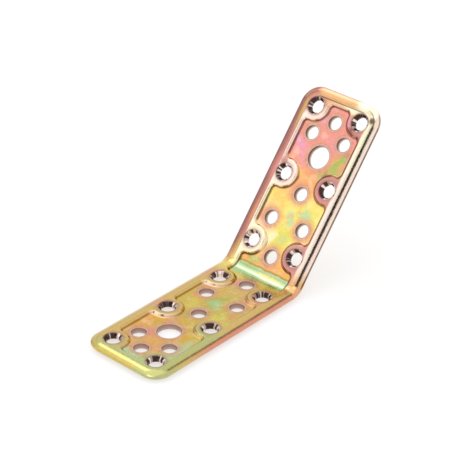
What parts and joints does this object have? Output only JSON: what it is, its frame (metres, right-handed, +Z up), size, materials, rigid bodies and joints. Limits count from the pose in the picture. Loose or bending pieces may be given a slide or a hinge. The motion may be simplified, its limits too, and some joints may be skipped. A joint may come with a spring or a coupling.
{
  "type": "angle bracket",
  "caption": "Pressed steel angle bracket with two equal legs at an obtuse bend, a sunken panel, rolled-down edges and countersunk and plain screw holes.",
  "frame": {"origin": "middle of the bracket's overall box at the plane it stands on, the underside of the lower leg's pressed panel", "axes": "+X from the lower leg's end towards the upper leg, +Y across the legs, +Z up from the lower leg"},
  "size_m": [0.1176, 0.0354, 0.0563],
  "materials": {
    "zinc_plate": "yellow passivated zinc plating with pink and green tints, satin gloss"
  },
  "bodies": {
    "root": {"angle_bracket": "zinc_plate"}
  },
  "joints": []
}
